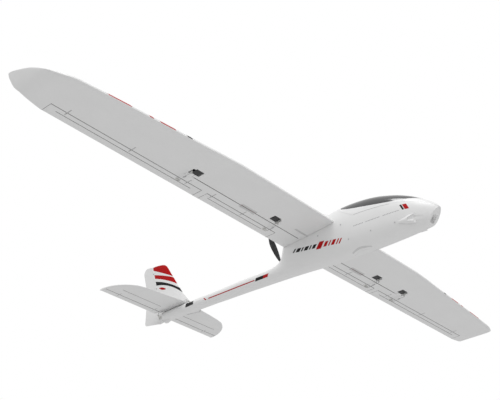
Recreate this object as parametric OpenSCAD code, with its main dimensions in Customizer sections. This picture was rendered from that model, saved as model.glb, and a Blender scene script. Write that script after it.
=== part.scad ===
// Two metre electric motor glider: hollow moulded fuselage with a slim boom,
// pylon mounted pusher motor, moulded foam wings with ailerons and flaps,
// low set tailplane with elevator, raked fin and rudder.
// Working frame: +X to the nose, +Y to port, +Z up, x = 0 on the aileron
// hinge line and z = 0 on the wing root underside. place() moves it so that
// the origin is under the middle of the model, on the surface it rests on.

/* [Wing] */
// Extra span of each raised tip
tip_out = 0; // [-5:1:5]
// Height factor of the raised tip
tip_up = 1; // [0.7:0.05:1.1]
// Dihedral of each wing panel in degrees
dihedral = 0.44; // [0:0.02:0.6]
// Root leading edge ahead of the hinge line
root_le = 160; // [156:1:164]
// Chord of ailerons and flaps behind the hinge line
surf_c = 35.5; // [33:0.5:37]
// Crown that sets the wing thickness
crown = 66; // [60:1:70]

/* [Spar] */
// Outer diameter of the carbon joiner tube
spar_d = 8; // [6:0.5:9]
// Length of the joiner tube
spar_len = 820; // [600:10:840]

/* [Fuselage] */
// Wall of the hollow fuselage
wall = 1.6; // [1.4:0.1:2]
// Height of the flat belly below the wing root underside
belly = 110.2; // [110:0.1:110.6]

/* [Controls] */
// Length of the servo arms and horns, pivot to pivot
arm_r = 13; // [12:0.5:14]
// Length of the rudder arm and horn
rud_r = 20; // [19:0.5:21]
// Diameter of the steel pushrods
rod_d = 1.4; // [1.2:0.1:1.5]
// Diameter of the hinge pins
pin_d = 1.2; // [1:0.1:1.4]

/* [Propeller] */
// Radius of the two blade propeller
prop_r = 89; // [80:1:95]
// Rest angle of the blades from the vertical
prop_rest = 34; // [0:1:90]

/* [Battery] */
// Battery length
bat_l = 106; // [95:1:110]
// Battery width
bat_w = 34; // [30:1:36]
// Battery height
bat_h = 26; // [20:1:28]

/* [Hidden] */
X0 = 99.5;
white = "white"; foam = "whitesmoke"; black = "dimgray"; steel = "silver"; red = "crimson";

module place() translate([X0, 0, belly]) children();

// ---- interpolation through a table of hand chosen stations ----
function seg(t, x, i = 0) = (i >= len(t) - 2 || x <= t[i + 1][0]) ? i : seg(t, x, i + 1);
function dl(t, c, i) = (t[i + 1][c] - t[i][c]) / (t[i + 1][0] - t[i][0]);
function sl(t, c, i) = i == 0 ? dl(t, c, 0) : i == len(t) - 1 ? dl(t, c, i - 1)
    : let(a = dl(t, c, i - 1), b = dl(t, c, i)) a * b <= 0 ? 0 : 2 * a * b / (a + b);
function cub(t, x, c) = let(i = seg(t, x), h = t[i + 1][0] - t[i][0], u = (x - t[i][0]) / h)
    t[i][c] * (1 + 2 * u) * (1 - u) * (1 - u) + sl(t, c, i) * h * u * (1 - u) * (1 - u)
    + t[i + 1][c] * u * u * (3 - 2 * u) + sl(t, c, i + 1) * h * u * u * (u - 1);
function sgp(v, p) = sign(v) * pow(abs(v), p);

function rev(l) = [for (i = [len(l) - 1:-1:0]) l[i]];

// solid through a row of rings that all have the same number of points
module loft(r) {
    n = len(r[0]); m = len(r);
    polyhedron(points = [for (q = r) each q], convexity = 6, faces = concat(
        [[for (k = [0:n - 1]) k]], [[for (k = [n - 1:-1:0]) (m - 1) * n + k]],
        [for (i = [0:m - 2]) for (k = [0:n - 1]) let(a = i * n + k, b = i * n + (k + 1) % n) each
            [[a, b + n, b], [a, a + n, b + n]]]));
}

// ---- fuselage: x, half width, top, widest height, bottom, roundness above and below ----
FS = [[-570, 15.5, -34.8, -49.5, -65, 2, 2], [-521, 17, -35, -52, -69, 2, 2], [-450, 18, -35.2, -53, -71, 2, 2],
    [-417, 18.5, -35.5, -54, -72.5, 2, 2], [-345, 18.5, -38, -56.5, -75, 2, 2], [-311, 18.8, -39, -58, -77, 2, 2],
    [-209, 21, -39.5, -60.5, -81.7, 2, 2], [-120, 21.5, -43.5, -65, -86.8, 2, 2.1], [-90, 22, -42, -65, -88.3, 2, 2.2],
    [-65, 22.5, -34, -62, -90, 2, 2.3], [-51, 23, -16, -58, -91, 2.1, 2.4], [-44, 23.6, 12, -52, -91.6, 2.4, 2.4],
    [-39, 24, 27, -45, -92, 3, 2.5], [0, 25.2, 32, -42, -95, 3, 2.5], [40, 27, 40, -38, -98.5, 2.6, 2.5],
    [80, 30.5, 48, -34, -102, 2.3, 2.55], [115, 33.3, 54.3, -30, -105, 2.1, 2.6], [140, 35.8, 57, -30, -106.5, 2, 2.6],
    [169, 38, 58.8, -30, -108, 2, 2.6], [198, 38.8, 58.5, -30, -109, 2, 2.6], [227, 39, 56.4, -31, -110, 2, 2.6],
    [255, 38.8, 53, -33, -110.8, 2, 2.6], [282, 38.5, 48, -36, -111.2, 2, 2.6], [309, 38, 41, -40, -111.4, 2, 2.6],
    [335, 37.5, 32, -45, -111.5, 2, 2.6], [361, 36.5, 22, -50, -111.5, 2, 2.6], [386, 34.5, 10, -56, -111.4, 2, 2.6],
    [411, 31.5, -3.6, -62, -111.2, 2, 2.6], [434, 27.5, -19, -68, -111, 2, 2.6], [457, 21.5, -36.2, -74, -110.6, 2, 2.5],
    [472, 15.5, -49, -78, -109, 2, 2.4], [482, 9, -60, -80, -104, 2, 2.2], [487, 2.5, -70, -78, -88, 2, 2]];
FX = concat([for (x = [-570:38:-152]) x], [-120, -95, -78, -65, -57, -51, -47, -44, -41, -39], [for (x = [-20:20:120]) x],
    [for (x = [138:17:425]) x], [434, 443, 452, 460, 467, 473, 478, 482, 485, 487]);
function fring(x, g, n) = let(w = cub(FS, x, 1) - g, zt = cub(FS, x, 2) - g, zm = cub(FS, x, 3), zb = cub(FS, x, 4) + g,
    nt = cub(FS, x, 5), nb = cub(FS, x, 6)) [for (k = [0:n - 1]) let(a = 360 * k / n, c = cos(a), s = sin(a), e = 2 / (s >= 0 ? nt : nb))
    [x, w * sgp(c, e), zm + (s >= 0 ? zt - zm : zm - zb) * sgp(s, e)]];
module body_solid(g = 0, n = 32, a = -600, b = 600) loft([for (x = FX) if (x > a && x < b) fring(x, g, n)]);
module body_cavity(g = 1.6, n = 24) loft([for (x = [for (x = FX) if (x > -569 && x < 436) x]) fring(x, g, n)]);
// side outlines (x, z) of the hatch and of its dark window
HATCH = [[148, 90], [156, 64], [170, 42], [194, 22], [228, -2], [275, -6], [322, -10], [352, -14], [380, -20.5], [410, -29], [440, -39], [462, -50], [474, -59], [500, -80], [500, 90]];
WINDOW = [[150, 90], [168, 62], [181, 42], [205, 31], [229, 23], [268, 12.5], [312, 1.5], [351, -7], [380, -11.5], [408, -16], [430, -21], [447, -28], [452, 90]];
module side_cut(p, g = 0) rotate([90, 0, 0]) translate([0, 0, -60]) linear_extrude(120) offset(delta = g) polygon(p);

module rod_between(a, b, r, n = 16) { hull() { translate(a) sphere(r, $fn = n); translate(b) sphere(r, $fn = n); } }
module rbox(a, b, r) hull() for (x = [a[0] + r, b[0] - r], y = [a[1] + r, b[1] - r], z = [a[2] + r, b[2] - r]) translate([x, y, z]) sphere(r, $fn = 12);

module fuselage_shell() color(white) difference() {
    union() {
        body_solid();
        for (s = [-1, 1]) {
            // intake blister on each cheek of the nose
            hull() { translate([376, s * 34, -84]) sphere(3, $fn = 16); translate([404, s * 31.5, -86]) scale([1, 0.55, 1]) sphere(12.5, $fn = 20);
                translate([419, s * 28.5, -87]) rotate([0, 90, 0]) scale([1, 0.62, 1]) cylinder(h = 3, r = 14, $fn = 24); }
        }
        // low hump under the middle of the belly
        hull() for (q = [[208, 3], [222, 12], [246, 20], [266, 16], [288, 4]]) translate([q[0], 0, -103]) scale([1, q[1] / 9, 1]) sphere(9, $fn = 20);
        // tail end bump that carries the rudder bearing block
        hull() { translate([-558, 0, -66.5]) scale([1.4, 0.9, 1]) sphere(8.5, $fn = 16); translate([-524, 0, -62]) sphere(4, $fn = 12); }
    }
    body_cavity(wall);
    // flat belly and slanted nose face
    translate([-600, -60, -belly - 20]) cube([1200, 120, 20]);
    rotate([90, 0, 0]) translate([0, 0, -60]) linear_extrude(120) polygon([[486.5, -64], [530, -64], [530, -150], [438, -122]]);
    // hatch opening and wing roots
    side_cut(HATCH, 0.15);
    wing_slot(0.5);
    // camera recess in the nose
    rbox([446, -9, -104], [500, 9, -84], 4);
    for (s = [-1, 1]) {
        // intake mouth and the flute ahead of it
        hull() { translate([407, s * 37, -87]) scale([1, 0.4, 1]) sphere(6, $fn = 16); translate([421, s * 34.5, -87]) rotate([0, 90, 0]) scale([1, 0.5, 1]) cylinder(h = 3, r = 10.5, $fn = 24); }
        hull() { translate([421.8, s * 34, -84]) sphere(7, $fn = 12); translate([421.8, s * 30, -99]) sphere(3, $fn = 12); translate([452, s * 25, -92]) sphere(3, $fn = 12); }
        // crescent hollows beside the hump
        hull() { translate([214, s * 15, -111.5]) sphere(2, $fn = 12); translate([236, s * 15, -112.5]) scale([2, 0.8, 0.8]) sphere(7, $fn = 16); translate([266, s * 8, -112]) sphere(2, $fn = 12); }
        // cable exit beside the tail servos
        translate([-456.3, s < 0 ? -20 : 4.8, -58.3]) cube(s < 0 ? [35.6, 15.2, 23.4] : [0.1, 0.1, 0.1]);
    }
    // magnet seats in the seam face of the nose
    for (s = [-1, 1]) translate([448, s * 7, -43]) rotate([0, 26.57, 0]) translate([0, 0, -3.4]) cylinder(h = 8, r = 3.55, $fn = 32);
    // elevator servo pocket, tail screws and motor lead slot
    translate([-451.3, 9.7, -58.3]) cube([30, 12, 13]);
    for (x = [-534, -490]) translate([x, 0, -50]) cylinder(h = 30, r = 1.6, $fn = 16);
    translate([-10, -7, 20]) cube([30, 14, 20]);
}

// ---- pylon behind the canopy that carries the motor ----
PS = [[-88, 17, 99, 82, 65, 2, 2], [-76, 18.5, 101, 80, 59, 2, 2], [-60, 19.5, 102.2, 76, 46, 2, 2.2], [-40, 20.5, 102.5, 70, 22, 2, 2.6],
    [-10, 21.5, 101, 62, 16, 2, 3], [30, 22, 94.5, 55, 16, 2, 3], [60, 21.5, 85.5, 52, 20, 2, 3], [90, 20, 73.5, 50, 30, 2, 3], [112, 16, 63.5, 48, 38, 2, 3], [126, 8, 57.5, 50, 44, 2, 2.5]];
function pring(x, g, n) = [for (k = [0:n - 1]) let(a = 360 * k / n, c = cos(a), s = sin(a), zm = cub(PS, x, 3), e = 2 / (s >= 0 ? 2 : cub(PS, x, 6)))
    [x, (cub(PS, x, 1) - g) * sgp(c, e), zm + (s >= 0 ? cub(PS, x, 2) - g - zm : zm - cub(PS, x, 4) - g) * sgp(s, e)]];
module motor_pylon() color(white) difference() {
    loft([for (x = [-88, -82, -76, -68, -60, -50, -40, -25, -10, 10, 30, 45, 60, 75, 90, 102, 112, 120, 126]) pring(x, 0, 32)]);
    difference() {
        translate([0, 0, 0]) loft([for (x = [-72, -60, -50, -40, -25, -10, 10, 30, 45, 60, 75, 90, 102]) pring(x, 2, 24)]);
        translate([-80, -30, 0]) cube([16, 60, 120]);
    }
    body_solid(-0.15, 32, -60, 200);
    wing_slot(0.55);
    // bore for the motor can and its centre hole
    translate([-100, 0, 82]) rotate([0, 90, 0]) cylinder(h = 32, r = 15, $fn = 48);
    translate([-100, 0, 82]) rotate([0, 90, 0]) cylinder(h = 60, r = 5, $fn = 32);
    for (a = [45:90:315]) translate([-75, 9.5 * cos(a), 82 + 9.5 * sin(a)]) rotate([0, 90, 0]) cylinder(h = 20, r = 1.6, $fn = 16);
    // cooling louvres
    for (s = [-1, 1], i = [0:3]) hull() for (z = [62, 78]) translate([-38 + 14 * i, s * 22, z]) rotate([90, 0, 0]) cylinder(h = 14, r = 1.7, $fn = 16, center = true);
}

module hatch_raw(g) difference() { intersection() { body_solid(); side_cut(HATCH, -0.15); } intersection() { body_cavity(2.2, 24); side_cut(HATCH, 2); } }
// tabs inside the seam that centre the hatch in the shell
HT = [[246, -6], [292, -9.5], [338, -13.5], [384, -23]];
module hatch_tabs() for (s = [-1, 1], p = HT) hull() {
    translate([p[0], s * (side_y(p[0], p[1] + 5) - 2.6), p[1] + 5.5]) cube([12, 2.4, 2], center = true);
    translate([p[0], s * (side_y(p[0], p[1]) - 3.6), p[1] - 1.5]) cube([10, 1.4, 1], center = true); }
module canopy_hatch() color(white) difference() {
    union() { hatch_raw(); hatch_tabs(); }
    // seat for the dark window
    difference() { side_cut(WINDOW, 0.1); body_solid(1.25, 32, 140, 470); }
    body_solid_wingcut();
}
module body_solid_wingcut() wing_slot(0.5);
module canopy_window() color(black) intersection() {
    difference() { body_solid(0.05, 32, 150, 465); body_solid(1.15, 32, 140, 470); }
    side_cut(WINDOW, 0);
    translate([165, -60, -60]) cube([300, 120, 140]);
}
// rear tongue and front magnets that hold the hatch
module hatch_latch() color(black) difference() {
    intersection() { translate([128, -8, 48.6]) cube([56, 16, 9]); body_solid(wall, 24, 115, 200); }
    difference() { translate([149.6, -20, 40]) cube([60, 40, 30]); body_solid(2.7, 24, 115, 200); } }
module hatch_magnets() color(steel) for (s = [-1, 1]) translate([448, s * 7, -43]) rotate([0, 26.57, 0]) translate([0, 0, -3.4]) cylinder(h = 3, r = 3.5, $fn = 32);

// ---- wing ----
WX = [[20, 160, 0], [409, 157.3, 0], [540, 146.5, 0], [666, 136.4, 0], [760, 129.2, 0], [846, 121.8, 0], [895, 116.8, 0], [905, 115.8, 0]];
// raised tip: fraction, span position, rise, leading edge, trailing edge behind the hinge line
TX = [[0, 895, 0, 116.8, 35.5], [0.16, 922, 0, 114.2, 35.2], [0.235, 934, 0, 112, 33.3], [0.36, 953.5, 0.1, 106, 29.5], [0.44, 966, 1.9, 100, 28.3], [0.512, 976.8, 6.9, 91.5, 30],
    [0.584, 985.6, 15, 80, 35], [0.65, 991.3, 24.3, 66, 43], [0.715, 994.2, 34.5, 49, 50.5], [0.813, 996.6, 50.5, 22, 58.5], [0.904, 998.6, 65.4, -13, 66],
    [0.964, 999.5, 75, -40, 69], [0.988, 999.8, 79, -52, 70], [1, 1000, 81, -62, 69.5]];
U = [0, 0.006, 0.025, 0.06, 0.11, 0.18, 0.27, 0.38, 0.5, 0.64, 0.8, 1];
function upz(u, k) = (4 + 3 * u) * k + crown * k * (sqrt(u) - u);
function loz(u, k) = u < 0.25 ? 4 * k * pow(1 - sqrt(u / 0.25), 2) : 0;
// one section: leading edge, hinge line and trailing edge as x, thickness factor, growth
function wsec(le, hx, te, k, g) = concat(
    [for (u = U) [le + (hx - le) * u + (u == 0 ? g : 0), upz(u, k) + (u == 0 ? 0 : g)]],
    [[(hx + te) / 2, 3.95 * k + g], [te - g, 0.9 * k + g], [te - g, -g]],
    [for (i = [len(U) - 1:-2:1]) [le + (hx - le) * U[i], loz(U[i], k) - g]]);
// slot through the pod that both wing roots plug into
module wing_slot(g) rotate([90, 0, 0]) translate([0, 0, -60]) linear_extrude(120) polygon(wsec(root_le, 0, -surf_c, 1, g));
function wrow(y, z, a, s) = [for (p = s) [p[0], y - p[1] * sin(a), z + p[1] * cos(a)]];
function tan_z(y) = y * tan(dihedral);
module wing_solid(g = 0) {
    st = [20, 150, 280, 409, 480, 540, 600, 666, 715, 760, 805, 846, 876, 895];
    inner = [for (y = st) let(le = cub(WX, y, 1)) wrow(y, tan_z(y), dihedral, wsec(le + (y < 409 ? root_le - 160 : 0), 0, -surf_c, pow(le / 160, 0.8), g))];
    f = [0.16, 0.26, 0.34, 0.39, 0.44, 0.49, 0.54, 0.59, 0.64, 0.69, 0.76, 0.83, 0.9, 0.955, 0.985, 1];
    outer = [for (t = f) let(y = cub(TX, t, 1) + tip_out, z = cub(TX, t, 2) * tip_up, e = 0.02, t1 = max(t - e, 0), t2 = min(t + e, 1), a = atan2((cub(TX, t2, 2) - cub(TX, t1, 2)) * tip_up, cub(TX, t2, 1) - cub(TX, t1, 1)),
        le = cub(TX, t, 3), te = -cub(TX, t, 4), c = le - te, k = 0.777 * pow(min(c / 152.3, 1), 0.75)) wrow(y, tan_z(min(y, 955)) + z, a + dihedral, wsec(le, te + 35.5 / 152.3 * c, te, k, g))];
    loft([for (q = concat(inner, outer)) rev(q)]);
}
// everything below is drawn for the port side (+Y) in the panel's own plane
module panel() rotate([dihedral, 0, 0]) children();
HZ = 3.5;
AIL = [410.5, 917]; FLP = [105, 389];
AH = [464, 664, 869]; FH = [130, 247, 370];
module cove(a) { rotate([90, 0, 0]) translate([0, HZ, -a[1] - 0.4]) cylinder(h = a[1] - a[0] + 0.8, r = 3.75, $fn = 48);
    translate([-60, a[0] - 0.4, -8]) cube([60, a[1] - a[0] + 0.8, 24]); }
// wing servo seat: arm plane ya, shaft towards d
module servo_seat(ya, d) { y0 = d > 0 ? ya - 31 : ya + 3; translate([39.7, y0, -3]) cube([23.6, 28, 15.6]);
    translate([34.5, d > 0 ? ya - 3.05 : ya - 4.5, -3]) cube([24, 7.5, 14.5]); }
module wing(fy, fd) color(foam) difference() {
    wing_solid();
    panel() {
        cove(AIL); cove(FLP);
        servo_seat(493, 1); servo_seat(fy, fd);
        for (y = concat(AH, FH)) translate([1, y - 2.3, HZ - 0.5]) cube([13.4, 4.6, 1]);
        // cable slot and shallow panel recess
        translate([27.9, 30, -1]) cube([1.4, 445, 3.5]);
        translate([21, 223, -1]) cube([17, 62, 1.8]);
        translate([27.9, 474, -1]) cube([13, 1.6, 3.5]);
        translate([54, 40, -1]) cube([7, 42, 2]);
    }
    translate([101, 0, 10.5]) rotate([-90, 0, 0]) cylinder(h = spar_len / 2 + 0.5, r = spar_d / 2 + 0.03, $fn = 48);
}
FYR = 146; FDR = -1; FYL = 350; FDL = 1;
module wing_right() scale([1, -1, 1]) wing(FYR, FDR);
module wing_left() wing(FYL, FDL);
module wing_spar_tube() color(black) translate([101, -spar_len / 2, 10.5]) rotate([-90, 0, 0]) difference() {
    cylinder(h = spar_len, r = spar_d / 2, $fn = 48); translate([0, 0, -1]) cylinder(h = spar_len + 2, r = spar_d / 2 - 1, $fn = 48); }

// hinge: pin, centre knuckle and the leaf let into the fixed part
module hinge() { rotate([90, 0, 0]) { cylinder(h = 14, r = pin_d / 2, center = true, $fn = 24); cylinder(h = 4.4, r = 1.5, center = true, $fn = 24); }
    translate([0.6, -2.2, -0.4]) cube([13.4, 4.4, 0.8]); }
module wing_hinges() color(foam) for (s = [-1, 1]) scale([1, s, 1]) panel() for (y = concat(AH, FH)) translate([0, y, HZ]) hinge();
// moving surface with a round nose in the cove
module surf(a, hs, strip, hy) difference() {
    union() { translate([0, a[1], HZ]) rotate([90, 0, 0]) cylinder(h = a[1] - a[0], r = 3.42, $fn = 48);
        translate([0, a[1], 0]) rotate([90, 0, 0]) linear_extrude(a[1] - a[0]) polygon([[0, 6.92], [0, 0.08], [-surf_c + 0.6, 0], [-surf_c, 0.35], [-surf_c, 0.75], [-surf_c + 0.6, 1]]); }
    for (y = hs) { translate([-3, y - 2.5, -1]) cube([8, 5, 10]); translate([0, y, HZ]) rotate([90, 0, 0]) cylinder(h = 15, r = pin_d / 2 + 0.05, center = true, $fn = 24); }
    if (strip[1] > strip[0]) translate([-15.5, strip[0], -1]) cube([1, strip[1] - strip[0], 1.4]);
    // foot of the horn
    translate([-15.1, hy - 4.1, -1]) cube([12.2, 8.2, 2.1]);
}
module aileron() color(foam) surf(AIL, AH, [438, 892], 494);
module aileron_right() scale([1, -1, 1]) panel() aileron();
module aileron_left() panel() aileron();
module flap_right() color(foam) scale([1, -1, 1]) panel() surf(FLP, FH, [0, 0], FYR + FDR);
module flap_left() color(foam) panel() surf(FLP, FH, [0, 0], FYL + FDL);

// ---- servos, arms, rods and horns, all in the plane y = ya of a panel ----
SX = 46; SZ = 6.2;
module servo(ya, d) color(black) {
    translate([40, d > 0 ? ya - 27.5 : ya + 4.5, 0.4]) cube([23, 23, 11.6]);
    translate([39.9, d > 0 ? ya - 10.5 : ya + 8, 0.9]) cube([23.2, 2.4, 10.6]);
    translate([SX, ya, SZ]) rotate([d > 0 ? 90 : -90, 0, 0]) { translate([0, 0, 1]) cylinder(h = 3.6, r = 2.4, $fn = 32); translate([0, 0, 3.15]) cylinder(h = 1.45, r = 5.2, $fn = 32);
        translate([0, 0, -1.2]) cylinder(h = 2.4, r = 1.15, $fn = 24); }
}
// arm hangs down from the shaft with a pin hole at arm_r
module arm(ya, d, r = arm_r) color(foam) translate([SX, ya, SZ]) rotate([90, 0, 0]) difference() {
    union() { cylinder(h = 1.8, r = 3, center = true, $fn = 32); translate([0, -r, 0]) cylinder(h = 1.8, r = 1.9, center = true, $fn = 24);
        linear_extrude(1.8, center = true) polygon([[-2.6, 0], [2.6, 0], [1.7, -r], [-1.7, -r]]); }
    cylinder(h = 4, r = 1.2, center = true, $fn = 24); translate([0, -r, 0]) cylinder(h = 4, r = rod_d / 2 + 0.05, center = true, $fn = 24); }
// pushrod: a wire with both ends bent to pass through arm and horn
module rod(ya, d) { L = norm([SX, SZ - HZ]); a = atan2(SZ - HZ, SX);
    color(steel) translate([0, ya, HZ - arm_r]) rotate([0, -a, 0]) {
        translate([0, d * 3.2, 0]) rotate([0, 90, 0]) cylinder(h = L, r = rod_d / 2, $fn = 24);
        for (x = [0, L]) translate([x, 0, 0]) rotate([d > 0 ? -90 : 90, 0, 0]) { translate([0, 0, x == 0 ? 1 : -1.7]) cylinder(h = x == 0 ? 2.2 : 4.9, r = rod_d / 2, $fn = 24); }
        for (x = [0, L]) translate([x, d * 3.2, 0]) sphere(rod_d / 2, $fn = 24);
        translate([L * 0.42, d * 3.2, 0]) rotate([0, 90, 0]) cylinder(h = 7, r = 1.9, $fn = 32);
    } }
// horn: foot let into the surface, blade ending under the hinge line
module horn(yc) color(foam) translate([0, yc, 0]) difference() {
    union() { translate([-15, -4, 0.1]) cube([12, 8, 0.9]); translate([0, 0.8, 0]) rotate([90, 0, 0]) linear_extrude(1.6) polygon([[-14, 0.5], [-4, 0.5], [2, HZ - arm_r + 1.5], [1.5, HZ - arm_r - 2], [-2, HZ - arm_r - 2.2]]); }
    translate([0, 0, HZ - arm_r]) rotate([90, 0, 0]) cylinder(h = 6, r = rod_d / 2 + 0.35, center = true, $fn = 24);
}
module star() scale([1, -1, 1]) panel() children();
module servo_aileron_right() star() servo(493, 1);
module servo_aileron_left() panel() servo(493, 1);
module servo_flap_right() star() servo(FYR, FDR);
module servo_flap_left() panel() servo(FYL, FDL);
module arm_aileron_right() star() arm(493, 1);
module arm_aileron_left() panel() arm(493, 1);
module arm_flap_right() star() arm(FYR, FDR);
module arm_flap_left() panel() arm(FYL, FDL);
module rod_aileron_right() star() rod(493, 1);
module rod_aileron_left() panel() rod(493, 1);
module rod_flap_right() star() rod(FYR, FDR);
module rod_flap_left() panel() rod(FYL, FDL);
module horn_aileron_right() star() horn(493 + 1);
module horn_aileron_left() panel() horn(493 + 1);
module horn_flap_right() star() horn(FYR + FDR);
module horn_flap_left() panel() horn(FYL + FDL);

// ---- tail ----
TZ = -30.6; EX = -580; ELV = [14, 246];
// span position, leading edge, trailing edge
ST = [[0, -464, 603], [60, -473, 603], [120, -480, 603.5], [166, -487, 604], [190, -494, 604], [207, -505, 604.5], [222, -519, 605], [234, -535, 605], [243, -553, 605], [248, -568, 605], [251, -585, 605]];
function tsec(le, te, h, e) = [for (p = [[0, 0], [0.01, 0.32], [0.05, 0.66], [0.14, 0.93], [0.3, 1], [0.55, 0.93], [0.8, 0.68], [1, 0.2], [1, -0.2], [0.8, -0.68], [0.55, -0.93], [0.3, -1], [0.14, -0.93], [0.05, -0.66], [0.01, -0.32]]) [le + (te - le) * p[0], e * h * p[1]]];
module stab_solid() loft([for (y = [251, 248, 243, 234, 222, 207, 190, 166, 120, 60, 0, -60, -120, -166, -190, -207, -222, -234, -243, -248, -251])
    let(a = abs(y), le = cub(ST, a, 1)) [for (p = tsec(le, -cub(ST, a, 2), 4 * (a > 200 ? pow((-604 - le) / -115, 0.35) : 1), 1)) [p[0], y, TZ + p[1]]]]);
module stabiliser() color(foam) difference() {
    stab_solid();
    translate([EX, 247, TZ]) rotate([90, 0, 0]) cylinder(h = 494, r = 3.35, $fn = 48);
    translate([-640, -247, TZ - 10]) cube([60, 494, 20]);
    for (s = [-1, 1]) { for (y = [40, 191]) translate([EX + 1, s * y - 2.3, TZ - 0.5]) cube([13.4, 4.6, 1]);
        translate([-545, s > 0 ? 43 : -207, TZ - 5]) cube([1, 164, 1.7]); }
    for (x = [-534, -490]) translate([x, 0, -60]) cylinder(h = 60, r = 1.55, $fn = 24);
}
module elevator() color(foam) for (s = [-1, 1]) scale([1, s, 1]) difference() {
    union() { translate([EX, ELV[1], TZ]) rotate([90, 0, 0]) cylinder(h = ELV[1] - ELV[0], r = 3.0, $fn = 48);
        translate([0, ELV[1], TZ]) rotate([90, 0, 0]) linear_extrude(ELV[1] - ELV[0]) polygon([[EX, 2.95], [EX, -2.95], [-603, -0.7], [-603.5, 0], [-603, 0.7]]); }
    for (y = [40, 191]) { translate([EX - 3, y - 2.5, TZ - 5]) cube([8, 5, 10]); translate([EX, y, TZ]) rotate([90, 0, 0]) cylinder(h = 15, r = pin_d / 2 + 0.05, center = true, $fn = 24); }
    translate([EX, 0, TZ]) rotate([-90, 0, 0]) cylinder(h = 26, r = 1.02, $fn = 24);
    if (s > 0) translate([EX - 12.1, 19.9, TZ - 5]) cube([10.2, 8.2, 3.9]);
}
module elevator_joiner() color(steel) translate([EX, -25.5, TZ]) rotate([-90, 0, 0]) cylinder(h = 51, r = 1, $fn = 24);
RO = [-575, 0, -66]; RA = 16.4;
module rframe() translate(RO) rotate([0, -RA, 0]) children();
FN = [[-26.3, -455, 0], [-10, -469, 0], [15, -490, 0], [60, -519, 0], [100, -544.5, 0], [125, -560, 0], [140, -570.5, 0], [148, -580, 0], [152, -590, 0], [155, -604, 0], [157.5, -622, 0]];
module fin() color(white) difference() {
    loft([for (z = [-26.3, -10, 15, 60, 100, 125, 140, 148, 152, 155, 157.5]) let(le = cub(FN, z, 1), te = RO[0] - (z + 66) * tan(RA) - 1, c = le - te, h = 4.6 - 0.9 * (z + 26) / 184)
        [for (p = tsec(le, te - c * 0.25, h * min(1, pow(c / 60, 0.4)), 1)) [max(p[0], te), p[1], z]]]);
    rframe() translate([0, 0, -5]) cylinder(h = 260, r = 3.75, $fn = 48);
    rframe() for (z = [75, 140, 205]) translate([1, -0.5, z - 2.3]) cube([13.4, 1, 4.6]);
    for (x = [-534, -490]) translate([x, 0, -60]) cylinder(h = 60, r = 1.3, $fn = 24);
}
// rudder outline: height along the hinge line, chord behind it
RD = [[0.5, 14], [8, 27], [20, 50], [32, 74], [37, 80], [44, 81.5], [75, 71], [108, 61], [150, 50.5], [178, 46.8], [215, 45.5], [234, 45], [241, 42], [246, 36]];
module rudder() color(white) rframe() difference() {
    union() { cylinder(h = 233, r = 3.3, $fn = 48);
        loft([for (z = [0.5, 8, 20, 32, 37, 44, 75, 108, 150, 178, 215, 233]) let(c = cub(RD, z, 1)) [[0, 3.25, z], [-c * 0.5, 2.2, z], [-c + 1, 0.7, z], [-c, 0, z], [-c + 1, -0.7, z], [-c * 0.5, -2.2, z], [0, -3.25, z]]]);
        loft([for (q = [[233, 0, 45], [238, -6, 43.5], [243, -16, 40], [246.5, -26, 35]]) let(z = q[0], c = q[2], f = q[1]) [[f, 3.25 + f * 0.06, z], [-c * 0.6, 2 + f * 0.04, z], [-c + 1, 0.6, z], [-c, 0, z], [-c + 1, -0.6, z], [-c * 0.6, -2 - f * 0.04, z], [f, -3.25 - f * 0.06, z]]]); }
    for (z = [75, 140, 205]) { translate([-3, -5, z - 2.5]) cube([8, 10, 5]); translate([0, 0, z]) cylinder(h = 15, r = pin_d / 2 + 0.05, center = true, $fn = 24); }
    translate([-14.1, -5, 18.4]) cube([11.2, 4.2, 7.2]);
    // room for the elevator joiner
}
module tail_hinges() color(foam) { for (s = [-1, 1], y = [40, 191]) translate([EX, s * y, TZ]) hinge();
    rframe() for (z = [75, 140, 205]) translate([0, 0, z]) rotate([90, 0, 0]) hinge(); }

// rudder servo stands in the starboard side of the boom, its shaft upright
RSX = -437; RSY = -11; RZ = -44.9;
module servo_rudder() color(black) { translate([-455.5, -17.8, -57.8]) cube([34, 12.4, 9.2]); translate([RSX, RSY, -49]) cylinder(h = 2.6, r = 2.4, $fn = 32); translate([RSX, RSY, -49]) cylinder(h = 5.2, r = 1.15, $fn = 24); }
module arm_rudder() color(foam) translate([RSX, RSY, RZ]) difference() {
    union() { cylinder(h = 1.8, r = 3, center = true, $fn = 32); translate([0, -rud_r, 0]) cylinder(h = 1.8, r = 1.9, center = true, $fn = 24);
        linear_extrude(1.8, center = true) polygon([[-2.6, 0], [2.6, 0], [1.7, -rud_r], [-1.7, -rud_r]]); }
    cylinder(h = 4, r = 1.2, center = true, $fn = 24); translate([0, -rud_r, 0]) cylinder(h = 4, r = rod_d / 2 + 0.05, center = true, $fn = 24); }
RHX = RO[0] - 22 * sin(RA); RHZ = RO[2] + 22 * cos(RA);
module rod_rudder() { dx = RSX - RHX; dy = RSY; L = norm([dx, dy]); zz = RZ + 4.6;
    color(steel) { translate([RHX, -rud_r, RHZ - 3.5]) cylinder(h = zz - RHZ + 4.6, r = rod_d / 2, $fn = 24); translate([RSX, RSY - rud_r, RZ - 1.7]) cylinder(h = zz - RZ + 2.8, r = rod_d / 2, $fn = 24);
        translate([RHX, -rud_r, zz]) rotate([0, 0, atan2(dy, dx)]) rotate([0, 90, 0]) { cylinder(h = L, r = rod_d / 2 - 0.1, $fn = 24); translate([0, 0, L * 0.1]) cylinder(h = 9, r = 1.9, $fn = 32); } } }
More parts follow.
